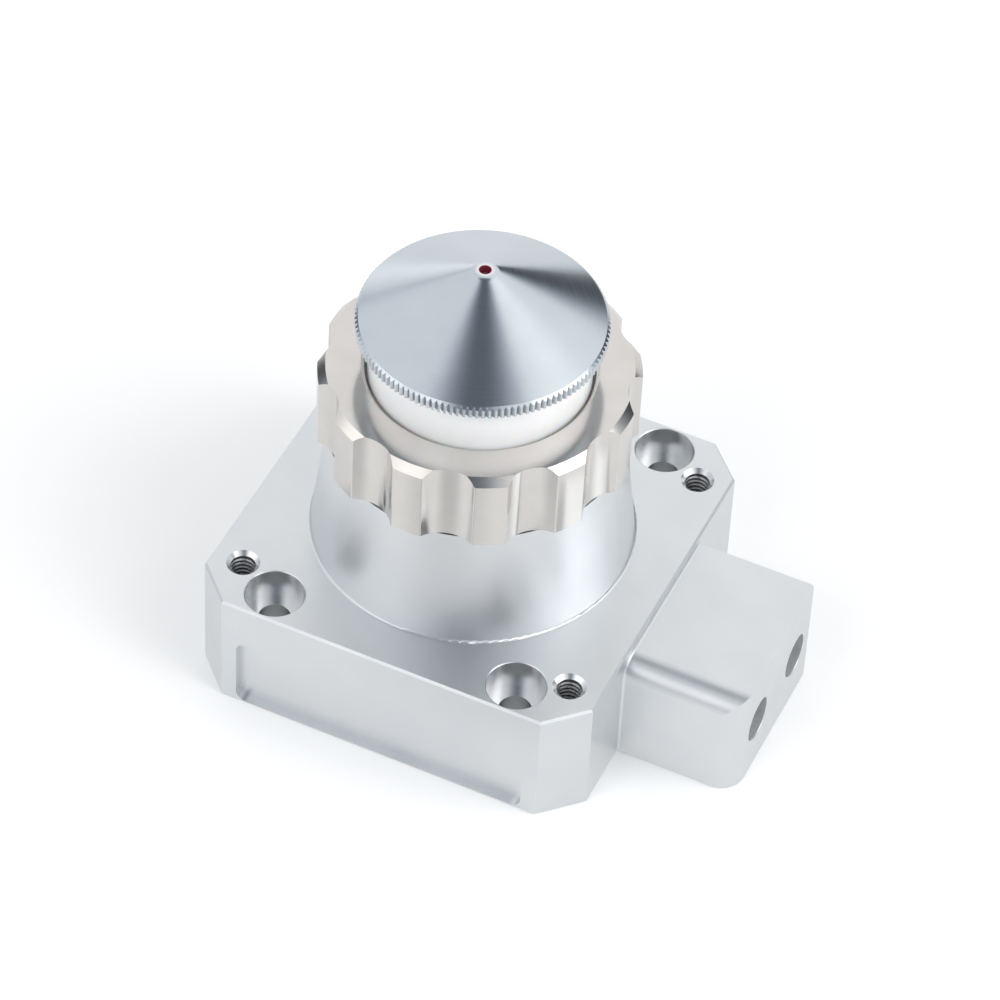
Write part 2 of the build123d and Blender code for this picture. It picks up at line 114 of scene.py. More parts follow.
# %% [markdown]
# ## Node helpers
# Every finish below is a small tree of shader nodes. They could be wired one by one, but then the
# wiring hides the idea. A few helpers keep the trees readable: one adds a node with its settings
# and inputs, where an input may be a plain value or another node's output, two do sums with
# numbers and vectors, and one starts a material with its Principled shader.

# %% Helpers for shader nodes
def add_node(tree, kind, settings=None, **inputs):
    """Adds a node. An input is a value or a socket, by name with _ for a space, or as i0, i1, i2."""
    node = tree.nodes.new(kind)
    for name, value in (settings or {}).items():
        setattr(node, name, value)
    for name, value in inputs.items():
        by_place = name[0] == "i" and name[1:].isdigit()
        key = int(name[1:]) if by_place else name.replace("_", " ")
        if isinstance(value, bpy.types.NodeSocket):
            tree.links.new(value, node.inputs[key])
        else:
            node.inputs[key].default_value = value
    return node


def maths(tree, operation, *values):
    """Adds a Math node on those values or sockets and returns its output."""
    inputs = {f"i{place}": value for place, value in enumerate(values)}
    return add_node(tree, "ShaderNodeMath", {"operation": operation}, **inputs).outputs[0]


def vector_maths(tree, operation, *vectors):
    """Adds a Vector Math node on those vectors and returns the number that it gives."""
    inputs = {f"i{place}": vector for place, vector in enumerate(vectors)}
    return add_node(tree, "ShaderNodeVectorMath", {"operation": operation}, **inputs).outputs["Value"]


def start_material(name):
    """A new material with only a Principled shader and the output."""
    material = bpy.data.materials.new(name)
    material.use_nodes = True
    material.node_tree.nodes.clear()
    output = material.node_tree.nodes.new("ShaderNodeOutputMaterial")
    shader = material.node_tree.nodes.new("ShaderNodeBsdfPrincipled")
    material.node_tree.links.new(shader.outputs[0], output.inputs["Surface"])
    return material, material.node_tree, shader


# %% [markdown]
# ## The room
# The photograph's background is plain white, and turning the lamps up until the floor burns out
# would burn out the metal as well. So the world is white to the rays that look straight at it.
# Bright metal has hardly any colour of its own, though: what it shows is the room. The metal of the
# photograph mirrors a white tent with a dark gap over the camera and a dark strip low down. Boards
# on stands could make those dark places, but only with hard edges. Here the room is painted on the
# world instead, patch over patch, each with a soft edge. A patch's turn and rise are measured from
# the camera's side and from the floor, and a level of 1 is the white that the eye sees.

# %% Helpers for painting light
WHITE = 1.0


def lean(tree, ray, way):
    """The cosine between a ray and a fixed way, 1 where they agree and -1 where they oppose."""
    return vector_maths(tree, "DOT_PRODUCT", ray, way)


def fade(tree, value, start, end):
    """0 where the value is at start, 1 where it is at end, and a smooth change between them."""
    smooth = {"interpolation_type": "SMOOTHSTEP"}
    ramp = add_node(tree, "ShaderNodeMapRange", smooth, Value=value, From_Min=start, From_Max=end)
    return ramp.outputs[0]


def paint(tree, under, mask, level):
    """Lays a level over what is under it, as far as the mask goes."""
    return add_node(tree, "ShaderNodeMix", i0=mask, i2=under, i3=level).outputs[0]


def tint(tree, mask, first, second):
    """The first colour where the mask is 0 and the second where it is 1."""
    mix = add_node(tree, "ShaderNodeMix", {"data_type": "RGBA"}, i0=mask, i6=first, i7=second)
    return mix.outputs[2]


# %% Lit and dim cloth
world = bpy.data.worlds.new("white_tent")
bpy.context.scene.world = world
world.use_nodes = True
sky = world.node_tree
sky.nodes.clear()
ray = sky.nodes.new("ShaderNodeTexCoord").outputs["Generated"]


def patch(turn, rise, inner, outer):
    """The mask of a round patch with a soft edge, in degrees round and up from the camera's side."""
    aim = lean(sky, ray, way_to(VIEW_AZIMUTH + turn, rise))
    return fade(sky, aim, math.cos(math.radians(outer)), math.cos(math.radians(inner)))


# Lit cloth and a softbox's glow on the right
room = paint(sky, WHITE, patch(turn=90, rise=51, inner=6, outer=26), level=1.13)
room = paint(sky, room, patch(turn=74, rise=26, inner=14, outer=29), level=2.55)

# Dimmer cloth on the left, with the glow of the other softbox and of the cloth beside it
room = paint(sky, room, patch(turn=-105, rise=42, inner=40, outer=58), level=0.89)
room = paint(sky, room, patch(turn=-40, rise=33, inner=8, outer=20), level=1.4)
room = paint(sky, room, patch(turn=-75, rise=22, inner=8, outer=24), level=1.4)

# A light corner behind
room = paint(sky, room, patch(turn=-160, rise=4, inner=4, outer=13), level=1.14)
print("Cloth of the tent:", len(sky.nodes), "nodes so far")

# %% [markdown]
# The gap over the camera is a band that stands nearly upright. How far a ray lies from the band's
# middle plane is the sine of an angle, so the band's edge and its full darkness are both given in
# degrees. The band lies on the camera's half of the room, leans a little to the left lower down,
# gets darker upwards, and ends in a dark place at the zenith.

# %% Dark gap over the camera
GAP_SIDE_TURN = 84
GAP_SIDE_RISE = -2
GAP_EDGE = 27
GAP_CORE = 3
GAP_LEVEL = 0.2
GAP_DARKENS_FROM = 32
GAP_DARK_FROM = 62
GAP_TOP_LEVEL = 0.14
GAP_BACK_EDGE = 0.1
ZENITH_LEVEL = 0.16


def sine(degrees):
    """The sine of an angle in degrees."""
    return math.sin(math.radians(degrees))


off_middle = maths(sky, "ABSOLUTE", lean(sky, ray, way_to(VIEW_AZIMUTH + GAP_SIDE_TURN, GAP_SIDE_RISE)))
gap = fade(sky, off_middle, sine(GAP_EDGE), sine(GAP_CORE))
front = fade(sky, lean(sky, ray, way_to(VIEW_AZIMUTH, 0)), -GAP_BACK_EDGE, GAP_BACK_EDGE)
high = fade(sky, lean(sky, ray, (0, 0, 1)), sine(GAP_DARKENS_FROM), sine(GAP_DARK_FROM))
gap_level = paint(sky, GAP_LEVEL, high, GAP_TOP_LEVEL)
room = paint(sky, room, maths(sky, "MULTIPLY", gap, front), gap_level)
room = paint(sky, room, patch(turn=0, rise=90, inner=9, outer=24), ZENITH_LEVEL)
print("Gap:", 2 * GAP_EDGE, "degrees wide with its soft edges")

# %% [markdown]
# The dark strip lies low all round, like the open foot of the tent. It is tilted, so that it
# stands higher on the right, and it is open behind the head, where a light corner shows.

# %% Dark strip low down
STRIP_TURN = -50
STRIP_TILT = 6.6
STRIP_EDGE = 19
STRIP_CORE = 4
STRIP_LEVEL = 0.05

height = lean(sky, ray, way_to(VIEW_AZIMUTH + STRIP_TURN, 90 - STRIP_TILT))
strip = fade(sky, height, sine(STRIP_EDGE), sine(STRIP_CORE))
opening = patch(turn=-171, rise=5, inner=24, outer=31)
strip = maths(sky, "MULTIPLY", strip, maths(sky, "SUBTRACT", 1.0, opening))
room = paint(sky, room, strip, STRIP_LEVEL)
print("Strip: dark up to", STRIP_CORE, "degrees and gone at", STRIP_EDGE)

# %% [markdown]
# The dim places in the photograph's metal are a cold blue grey, and its bright ones are white. A
# coloured metal would turn the bright ones blue too, so the colour is in the room: the dimmer a
# place of it is, the bluer. Rays that come straight from the camera meet plain white instead.

# %% World and its colour
SHADE_BLUE = (0.82, 0.96, 1.12, 1)
PURE_WHITE = (1, 1, 1, 1)

path = sky.nodes.new("ShaderNodeLightPath")
seen = maths(sky, "MAXIMUM", path.outputs["Is Camera Ray"], path.outputs["Is Transmission Ray"])
strength = paint(sky, room, seen, WHITE)
colour = tint(sky, strength, SHADE_BLUE, PURE_WHITE)
background = add_node(sky, "ShaderNodeBackground", Color=colour, Strength=strength)
add_node(sky, "ShaderNodeOutputWorld", Surface=background.outputs[0])
bpy.context.scene.view_settings.view_transform = "Standard"
print("World: white to the eye, and a painted room as light and in reflections")

# %% [markdown]
# ## Floor
# The floor is one large sheet. It takes the head's soft shadow like matt paper, and gives off a
# little light of its own to the camera, which lifts the paper to white and leaves the shadow.
# Seen in metal, half of its shade is replaced by such light: the photograph's table glows a little,
# apart from a dim place in front of the head, which darkens the middle of its neck. The sizes of
# the floor and the lamps are in metres.

# %% Sheet of the floor
FLOOR_SIDE = 4.0

floor_mesh = bpy.data.meshes.new("floor")
bm = bmesh.new()
bmesh.ops.create_grid(bm, x_segments=1, y_segments=1, size=FLOOR_SIDE / 2)
bm.to_mesh(floor_mesh)
bm.free()
floor = bpy.data.objects.new("floor", floor_mesh)
bpy.context.scene.collection.objects.link(floor)
print("Floor:", FLOOR_SIDE, "m square")

# %% Paper of the floor
FLOOR_COLOUR = (0.76, 0.765, 0.77, 1)
MIRRORED_FLOOR_COLOUR = (0.38, 0.383, 0.386, 1)
FLOOR_ROUGHNESS = 0.9
FLOOR_LIFT = 0.16
MIRRORED_LIFT = 0.46
DIM_PLACE = (9 * MM, -68 * MM, 0)
DIM_REACH = 36 * MM
DIM_CORE = 10.8 * MM
DIM_LIFT = 0.18

paper, paper_tree, paper_shader = start_material("floor_paper")
paper_shader.inputs["Roughness"].default_value = FLOOR_ROUGHNESS
paper_shader.inputs["Specular IOR Level"].default_value = 0.0
paper_shader.inputs["Emission Color"].default_value = PURE_WHITE
path = paper_tree.nodes.new("ShaderNodeLightPath")
mirrored = path.outputs["Is Glossy Ray"]
sheet_colour = tint(paper_tree, mirrored, FLOOR_COLOUR, MIRRORED_FLOOR_COLOUR)
paper_tree.links.new(sheet_colour, paper_shader.inputs["Base Color"])
on_sheet = paper_tree.nodes.new("ShaderNodeTexCoord").outputs["Object"]
from_dim = vector_maths(paper_tree, "DISTANCE", on_sheet, DIM_PLACE)
dim = fade(paper_tree, from_dim, DIM_REACH, DIM_CORE)
glow = paint(paper_tree, MIRRORED_LIFT, dim, DIM_LIFT)
lift = maths(paper_tree, "MULTIPLY", path.outputs["Is Camera Ray"], FLOOR_LIFT)
lift = maths(paper_tree, "MULTIPLY_ADD", mirrored, glow, lift)
paper_tree.links.new(lift, paper_shader.inputs["Emission Strength"])
floor_mesh.materials.append(paper)
print("Made", paper.name)

# %% [markdown]
# ## Lamps
# Two large softboxes flank the camera and shape the ceramic and the shadow on the floor. The metal
# has its own painted room, with the glow of both boxes in it, so the lamps don't show in it again.
# A lamp has a power, and the same power looks dimmer on a larger lamp. So each box is told how
# bright it looks, and its power is worked out from that and its area.

# %% Softboxes
STUDIO_RADIUS = 0.9


def softbox(name, turn, rise, size, brightness):
    """A square lamp aimed at the object. Brightness is its own, where 1 is the white of the world."""
    lamp = bpy.data.lights.new(name, "AREA")
    lamp.shape = "SQUARE"
    lamp.size = size
    lamp.energy = brightness * math.pi * size**2
    box = bpy.data.objects.new(name, lamp)
    way = way_to(VIEW_AZIMUTH + turn, rise)
    box.location = VIEW_AIM + way * STUDIO_RADIUS
    box.rotation_mode = "QUATERNION"
    box.rotation_quaternion = look_back(way)
    box.visible_camera = False
    box.visible_glossy = False
    bpy.context.scene.collection.objects.link(box)
    return box


lamps = [
    softbox("softbox_right", turn=62, rise=40, size=0.62, brightness=2.9),
    softbox("softbox_left", turn=-42, rise=40, size=0.5, brightness=2.9),
]
print("Lamps:", [lamp.name for lamp in lamps])

# %% [markdown]
# ## Effects that several finishes share
# Two node groups hold what more than one material needs. The first is a fine grain, as bead
# blasting, moulding or firing leaves it. An image could hold it, but it would stretch on a turned
# piece. A noise on Object coordinates keeps its scale in millimetres and stays in place when the
# piece moves. A noise's scale says how many grains fit in a metre, so the group works it out from
# their size.

# %% Helpers for places on a piece
def on_piece(tree):
    """The place on the piece, in the piece's own coordinates."""
    return tree.nodes.new("ShaderNodeTexCoord").outputs["Object"]


def split(tree, vector):
    """The X, Y and Z of a vector, by name."""
    return add_node(tree, "ShaderNodeSeparateXYZ", Vector=vector).outputs


def level_vector(tree, across, along):
    """A vector with those two numbers and no height."""
    return add_node(tree, "ShaderNodeCombineXYZ", X=across, Y=along).outputs[0]


def distance(tree, across, along):
    """The distance from the place where both numbers are nought."""
    return vector_maths(tree, "LENGTH", level_vector(tree, across, along))


# %% Group: fine grain
def start_group(name, inputs, outputs):
    """A shader node group with named number inputs and their defaults, and number outputs."""
    group = bpy.data.node_groups.new(name, "ShaderNodeTree")
    for label, default in inputs.items():
        socket = group.interface.new_socket(label, in_out="INPUT", socket_type="NodeSocketFloat")
        socket.default_value = default
    for label in outputs:
        group.interface.new_socket(label, in_out="OUTPUT", socket_type="NodeSocketFloat")
    print("Group", name, "takes", list(inputs), "and gives", outputs)
    return group, group.nodes.new("NodeGroupInput"), group.nodes.new("NodeGroupOutput")


grain, entry, leave = start_group("fine_grain", {"Grain mm": 0.1, "Cloud mm": 8.0}, ["Height", "Cloud"])
place = on_piece(grain)
fine = maths(grain, "DIVIDE", 1 / MM, entry.outputs["Grain mm"])
broad = maths(grain, "DIVIDE", 1 / MM, entry.outputs["Cloud mm"])
specks = add_node(grain, "ShaderNodeTexNoise", Vector=place, Scale=fine, Detail=3.0)
clouds = add_node(grain, "ShaderNodeTexNoise", Vector=place, Scale=broad, Detail=2.0)
grain.links.new(specks.outputs["Fac"], leave.inputs["Height"])
grain.links.new(clouds.outputs["Fac"], leave.inputs["Cloud"])

# %% [markdown]
# The second is what a lathe leaves: rings round the beam axis, each of its own depth. The distance
# from the axis plus the height along it runs through a one-dimensional noise. On a flat face only
# the first part changes, on a cylinder only the second, so the rings follow every turned surface.

# %% Group: turning marks
turning, entry, leave = start_group("turning_marks", {"Feed mm": 0.05}, ["Height"])
at = split(turning, on_piece(turning))
along = maths(turning, "ADD", distance(turning, at["X"], at["Y"]), at["Z"])
feed = maths(turning, "MULTIPLY", entry.outputs["Feed mm"], MM)
step = maths(turning, "DIVIDE", along, feed)
rings = add_node(turning, "ShaderNodeTexNoise", {"noise_dimensions": "1D"}, W=step, Scale=1.0, Detail=1.0)
turning.links.new(rings.outputs["Fac"], leave.inputs["Height"])

# %% [markdown]
# A noise stays near its middle and hardly ever reaches 0 or 1, so it is stretched before it drives
# a colour or a gloss. The other helpers place a group, let the colour and the gloss drift with a
# noise, and bump the surface.

# %% Helpers for finishes
NOISE_LOW = 0.3
NOISE_HIGH = 0.7


def use_group(tree, group, **inputs):
    """Places a group in a material, with its inputs by name."""
    return add_node(tree, "ShaderNodeGroup", {"node_tree": group}, **inputs)


def vary(tree, noise, low, high):
    """Stretches a noise to the numbers from low to high."""
    reach = {"From_Min": NOISE_LOW, "From_Max": NOISE_HIGH, "To_Min": low, "To_Max": high}
    return add_node(tree, "ShaderNodeMapRange", Value=noise, **reach).outputs[0]


def drift_colour(tree, shader, noise, colour, shade):
    """Lets the shader's colour drift between two near ones."""
    mask = vary(tree, noise, 0.0, 1.0)
    tree.links.new(tint(tree, mask, colour, shade), shader.inputs["Base Color"])


def drift_gloss(tree, shader, noise, roughness, spread):
    """Lets the shader's roughness drift upwards by that spread."""
    tree.links.new(vary(tree, noise, roughness, roughness + spread), shader.inputs["Roughness"])


def emboss(tree, shader, height, depth):
    """Bumps the shader by a height from 0 to 1, where 1 stands that many millimetres proud."""
    bump = add_node(tree, "ShaderNodeBump", Strength=1.0, Distance=depth * MM, Height=height)
    tree.links.new(bump.outputs[0], shader.inputs["Normal"])


# %% [markdown]
# ## Satin aluminium
# The body is milled, bead blasted and clear anodised. Its sheen is even and slightly cool, with
# soft gradients round the neck and no sharp mirror images. Plain grey with a highlight would look
# like plastic. So it is a metal of middling roughness with a very fine grain, and a faint
# cloudiness in colour and sheen so that it isn't computer flat.

# %% Finish of the sensor body
def blasted_metal(name, colour, shade, roughness, spread):
    """A blasted metal: two near colours that drift into each other, and a fine grain."""
    material, tree, shader = start_material(name)
    marks = use_group(tree, grain, Grain_mm=0.09, Cloud_mm=7.0)
    drift_colour(tree, shader, marks.outputs["Cloud"], colour, shade)
    drift_gloss(tree, shader, marks.outputs["Cloud"], roughness, spread)
    shader.inputs["Metallic"].default_value = 1.0
    emboss(tree, shader, marks.outputs["Height"], depth=0.002)
    return material


body_finish = blasted_metal(
    "body_satin",
    colour=(0.785, 0.805, 0.82, 1),
    shade=(0.765, 0.787, 0.805, 1),
    roughness=0.355,
    spread=0.04,
)
print("Made", body_finish.name)

# %% [markdown]
# ## Holes of the body
# The blasting doesn't reach into the holes. The screw seats and the ports are left as drilled, a
# neutral grey that is smoother than the blasted skin, so their walls mirror the room in streaks,
# and the tapped holes are darker. The body is one solid with one material, so the holes can't have
# a material of their own. They are painted by the distance from each hole's axis instead. The
# record's mounts say where the holes are, and only what a mount doesn't tell is typed here.

# %% Sizes of the holes
SEAT_R = 3.9 * MM
SEAT_DEPTH = 4.5 * MM
MOUTH_R = 2.2 * MM
PAINT_MARGIN = 0.015 * MM

mounts = {mount["name"]: mount for mount in record["mounts"]}
screw_holes = mounts["mounting_bolts"]
tapped_holes = mounts["side_threads"]
signal_port = mounts["signal_port"]
gas_port = mounts["gas_port"]
screw_r = screw_holes["dims"]["hole_r_mm"] * MM
tapped_r = tapped_holes["dims"]["hole_r_mm"] * MM
port_r = signal_port["dims"]["r_mm"] * MM

# The tapped holes have a 45 degree countersink, so it is as deep as it is wide
thread_top = tapped_holes["pos_m"][2]
flange_top = thread_top + MOUTH_R - tapped_r

# The flange is square, so its edge under the block lies as far out as its back edge
flange_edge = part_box("sensor_body")[1].y
print("Radii of screw hole, tapped hole and port in mm:", in_mm([screw_r, tapped_r, port_r]))

# %% Helpers for the masks of holes
def spacing(mount):
    """How far a pattern's four holes are from the beam axis, across and along."""
    dims = mount["dims"]
    return dims["spacing_x_mm"] / 2 * MM, dims["spacing_y_mm"] / 2 * MM


def within(tree, away, radius):
    """1 within that radius and 0 outside it."""
    return maths(tree, "LESS_THAN", away, radius + PAINT_MARGIN)


def from_middle(tree, value, middle):
    """The distance from a middle, the same to both sides of nought."""
    return maths(tree, "SUBTRACT", maths(tree, "ABSOLUTE", value), middle)


def from_holes(tree, at, mount):
    """The distance from a hole's axis. All four corners are alike, so they fold onto one."""
    across, along = spacing(mount)
    return distance(tree, from_middle(tree, at["X"], across), from_middle(tree, at["Y"], along))


# %% Masks of the screw seats and tapped holes
tree = body_finish.node_tree
at = split(tree, on_piece(tree))
from_seat = from_holes(tree, at, screw_holes)
above_seat = maths(tree, "GREATER_THAN", at["Z"], flange_top - SEAT_DEPTH - PAINT_MARGIN)
seat = maths(tree, "MULTIPLY", within(tree, from_seat, SEAT_R), above_seat)
seat = maths(tree, "MAXIMUM", seat, within(tree, from_seat, screw_r))
from_tapped = from_holes(tree, at, tapped_holes)
tapped = within(tree, from_tapped, tapped_r)
print("Screw holes at", in_mm(spacing(screw_holes)), "and tapped holes at", in_mm(spacing(tapped_holes)))

# %% Mask of the ports
ports_middle = (signal_port["pos_m"][1] + gas_port["pos_m"][1]) / 2
ports_apart = gas_port["pos_m"][1] - signal_port["pos_m"][1]
port_side = from_middle(tree, maths(tree, "SUBTRACT", at["Y"], ports_middle), ports_apart / 2)
port_rise = maths(tree, "SUBTRACT", at["Z"], signal_port["pos_m"][2])
port = within(tree, distance(tree, port_side, port_rise), port_r)
port = maths(tree, "MULTIPLY", port, maths(tree, "GREATER_THAN", at["X"], flange_edge))
print("Ports", in_mm([ports_apart]), "mm apart")

# %% Helpers for painting over a finish
def shader_of(material):
    """The Principled shader of a material."""
    return next(node for node in material.node_tree.nodes if node.type == "BSDF_PRINCIPLED")


def paint_colour(tree, shader, mask, colour):
    """Paints a colour over the one that the shader has, as far as the mask goes."""
    under = shader.inputs["Base Color"].links[0].from_socket
    tree.links.new(tint(tree, mask, under, colour), shader.inputs["Base Color"])


def paint_gloss(tree, shader, mask, roughness):
    """Gives the shader another roughness, as far as the mask goes."""
    under = shader.inputs["Roughness"].links[0].from_socket
    tree.links.new(paint(tree, under, mask, roughness), shader.inputs["Roughness"])


def weaken_metal(tree, shader, mask, metal):
    """Lowers Metallic from 1 to that number, as far as the mask goes."""
    tree.links.new(maths(tree, "MULTIPLY_ADD", mask, metal - 1.0, 1.0), shader.inputs["Metallic"])


# %% Paint the holes
DRILLED = (0.80, 0.81, 0.82, 1)
DRILLED_GLOSS = 0.27
PORT_METAL = 0.75
TAPPED = (0.68, 0.685, 0.69, 1)

shader = shader_of(body_finish)
bare = maths(tree, "MAXIMUM", maths(tree, "MAXIMUM", seat, port), within(tree, from_tapped, MOUTH_R))
paint_colour(tree, shader, bare, DRILLED)
paint_colour(tree, shader, tapped, TAPPED)
paint_gloss(tree, shader, bare, DRILLED_GLOSS)
weaken_metal(tree, shader, port, PORT_METAL)
print("Painted the holes of", body_finish.name)

# %% [markdown]
# ## Polished nut
# The nut is turned from steel and polished, with a warm cast. A perfect mirror would look like a
# render, because a real one keeps faint turning marks, which break each mirror image a little.
# They come from the shared group as a bump and as a drift in gloss.

# %% Finish of the nut
def turned_metal(name, colour, shade, roughness, spread, feed, depth):
    """A turned metal with rings round the beam axis."""
    material, tree, shader = start_material(name)
    clouds = use_group(tree, grain, Grain_mm=0.2, Cloud_mm=4.0)
    rings = use_group(tree, turning, Feed_mm=feed)
    drift_colour(tree, shader, clouds.outputs["Cloud"], colour, shade)
    drift_gloss(tree, shader, rings.outputs["Height"], roughness, spread)
    shader.inputs["Metallic"].default_value = 1.0
    emboss(tree, shader, rings.outputs["Height"], depth)
    return material


nut_finish = turned_metal(
    "nut_polished",
    colour=(0.74, 0.715, 0.69, 1),
    shade=(0.70, 0.675, 0.65, 1),
    roughness=0.11,
    spread=0.05,
    feed=0.12,
    depth=0.0003,
)
print("Made", nut_finish.name)

# %% [markdown]
# ## Chromed nozzle
# The nozzle is turned copper with a hard chrome plate. Its turning marks are regular enough to
# smear each reflection across them, so its cone shows long wedges from tip to rim. Stretched
# scratches could be drawn, but an anisotropic shader does exactly that smearing. Its tangent has
# to run along the cone's slope, so it is worked out from the position round the axis and then
# turned into world space, which keeps it right when the nozzle turns.

# %% Chrome of the nozzle
CHROME = (0.635, 0.685, 0.735, 1)
CHROME_SHADE = (0.61, 0.66, 0.71, 1)
SMEAR = 0.5

nozzle_finish = turned_metal(
    "nozzle_chrome_turned", CHROME, CHROME_SHADE, roughness=0.16, spread=0.05, feed=0.09, depth=0.0002
)
tree = nozzle_finish.node_tree
shader = shader_of(nozzle_finish)
shader.inputs["Anisotropic"].default_value = SMEAR
at = split(tree, on_piece(tree))
outward = level_vector(tree, at["X"], at["Y"])
turn_to_world = {"vector_type": "VECTOR", "convert_from": "OBJECT", "convert_to": "WORLD"}
to_world = add_node(tree, "ShaderNodeVectorTransform", turn_to_world, Vector=outward)
tree.links.new(to_world.outputs[0], shader.inputs["Tangent"])
print("Made", nozzle_finish.name)

# %% [markdown]
# A lighter colour round the orifice is a painted highlight, which stands in for the reflection on
# the tip's rounded edge, and the hollows of the knurl get a darker grey as painted shade. Faces
# could be picked by hand for each, but the solid's triangles change with every pack. Both are
# painted by the distance from the axis instead: the knurl's teeth reach out to the rim's radius,
# and its hollows lie within it. The frame gives only the nozzle's box, so its other sizes, here
# and in its bore, are typed as the part's source has them.

# %% Painted highlight at the tip and painted shade in the knurl
# Painted highlight: a lighter colour round the orifice stands in for the reflection on the tip's rounded
# edge
TIP_HIGHLIGHT = (0.83, 0.835, 0.84, 1)
TIP_HIGHLIGHT_R = 1.15 * MM
TIP_HIGHLIGHT_FADE = 0.3 * MM
CONE_H = 8.2 * MM
RIM_R = 16.0 * MM
RIM_BEVEL = 0.4 * MM
BEVEL_MARGIN = 0.02 * MM
KNURL_DEPTH = 0.34 * MM
KNURL_MARGIN = 0.034 * MM
# Painted shade: a darker grey in the knurl's hollows, while the crests keep the chrome
KNURL_SHADE = (0.46, 0.48, 0.50, 1)

nozzle_low, nozzle_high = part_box("nozzle")
away = vector_maths(tree, "LENGTH", outward)
tip_highlight = fade(tree, away, TIP_HIGHLIGHT_R + TIP_HIGHLIGHT_FADE, TIP_HIGHLIGHT_R - TIP_HIGHLIGHT_FADE)
# The mask of the painted shade: the knurl's hollows, below the rim's bevel
knurl_shade = fade(tree, away, RIM_R, RIM_R - KNURL_DEPTH)
knurled = maths(tree, "GREATER_THAN", away, RIM_R - KNURL_DEPTH - KNURL_MARGIN)
below_bevel = maths(tree, "LESS_THAN", at["Z"], nozzle_high.z - CONE_H - RIM_BEVEL - BEVEL_MARGIN)
knurl_shade = maths(tree, "MULTIPLY", knurl_shade, maths(tree, "MULTIPLY", knurled, below_bevel))
# Paints the highlight round the orifice, then the shade in the knurl's hollows
paint_colour(tree, shader, tip_highlight, TIP_HIGHLIGHT)
paint_colour(tree, shader, knurl_shade, KNURL_SHADE)
print("Nozzle from", round(nozzle_low.z / MM, 2), "to", round(nozzle_high.z / MM, 2), "mm")

# %% [markdown]
# Inside, the bore is bare copper. It narrows in a straight cone from the inlet to the orifice, so
# a point lies inside where its distance from the axis is under the cone's radius at its height.
# The copper is tarnished, which is why it isn't a full metal.

# %% Bare copper in the bore
INLET_R = 5.4 * MM
ORIFICE_R = 0.78 * MM
ORIFICE_L = 1.2 * MM
BORE_MARGIN = 0.03 * MM
COPPER = (0.36, 0.055, 0.10, 1)
COPPER_METAL = 0.5

bore_radius = add_node(
    tree,
    "ShaderNodeMapRange",
    Value=at["Z"],
    From_Min=nozzle_low.z,
    From_Max=nozzle_high.z - ORIFICE_L,
    To_Min=INLET_R + BORE_MARGIN,
    To_Max=ORIFICE_R + BORE_MARGIN,
)
inside = maths(tree, "LESS_THAN", away, bore_radius.outputs[0])
paint_colour(tree, shader, inside, COPPER)
weaken_metal(tree, shader, inside, COPPER_METAL)
print("Painted the bore of", nozzle_finish.name)

# %% [markdown]
# ## Ceramic, plastics and rubber
# These aren't metals, so they have a colour of their own. The ceramic is fired alumina: a cold
# white with a smooth, slightly uneven gloss. Light goes a little way into it, and a plain white
# surface would look like paint, so it has some subsurface scattering. The insulators are white
# plastic, matt and soft. The rings are black rubber with a moulded grain.

# %% Fired ceramic
def moulded(name, colour, shade, roughness, spread, grain_mm, depth):
    """A ceramic, plastic or rubber: a cloudy colour under an even gloss with a fine grain."""
    material, tree, shader = start_material(name)
    marks = use_group(tree, grain, Grain_mm=grain_mm, Cloud_mm=3.0)
    drift_colour(tree, shader, marks.outputs["Cloud"], colour, shade)
    drift_gloss(tree, shader, marks.outputs["Cloud"], roughness, spread)
    emboss(tree, shader, marks.outputs["Height"], depth)
    return material


CERAMIC_SCATTER = 0.3
CERAMIC_SCATTER_DEPTH = 1.5 * MM

ceramic_finish = moulded(
    "ceramic_fired",
    colour=(0.90, 0.90, 0.90, 1),
    shade=(0.88, 0.882, 0.885, 1),
    roughness=0.16,
    spread=0.05,
    grain_mm=0.15,
    depth=0.0006,
)
glaze = shader_of(ceramic_finish)
glaze.inputs["Subsurface Weight"].default_value = CERAMIC_SCATTER
glaze.inputs["Subsurface Scale"].default_value = CERAMIC_SCATTER_DEPTH
print("Made", ceramic_finish.name)

# %% Plastic and rubber
insulator_finish = moulded(
    "insulator_white",
    colour=(0.80, 0.79, 0.76, 1),
    shade=(0.77, 0.76, 0.73, 1),
    roughness=0.45,
    spread=0.08,
    grain_mm=0.08,
    depth=0.001,
)
rubber_finish = moulded(
    "rubber_black",
    colour=(0.022, 0.022, 0.024, 1),
    shade=(0.03, 0.03, 0.032, 1),
    roughness=0.5,
    spread=0.12,
    grain_mm=0.06,
    depth=0.003,
)
print("Made", insulator_finish.name, rubber_finish.name)

# %% [markdown]
# ## Small metal pieces
# Inside are gold plated contacts, tinned wire, a turned brass insert, a bright spring and a ground
# pin. They show only when the head is taken apart. They could share one grey, but then the pieces
# couldn't be told apart, so each has its own metal, made by the two functions for metal above.

# %% Finishes of the small metal pieces
gold_finish = blasted_metal(
    "contact_gold", (0.95, 0.66, 0.28, 1), (0.90, 0.61, 0.25, 1), roughness=0.18, spread=0.05
)
tin_finish = blasted_metal(
    "wire_tinned", (0.72, 0.70, 0.67, 1), (0.66, 0.64, 0.61, 1), roughness=0.28, spread=0.08
)
spring_finish = blasted_metal(
    "spring_bright", (0.60, 0.60, 0.61, 1), (0.54, 0.54, 0.55, 1), roughness=0.22, spread=0.06
)
pin_finish = blasted_metal(
    "pin_ground", (0.62, 0.62, 0.63, 1), (0.58, 0.58, 0.59, 1), roughness=0.16, spread=0.04
)
brass_finish = turned_metal(
    "insert_brass_turned",
    colour=(0.83, 0.62, 0.30, 1),
    shade=(0.78, 0.57, 0.27, 1),
    roughness=0.22,
    spread=0.08,
    feed=0.08,
    depth=0.001,
)
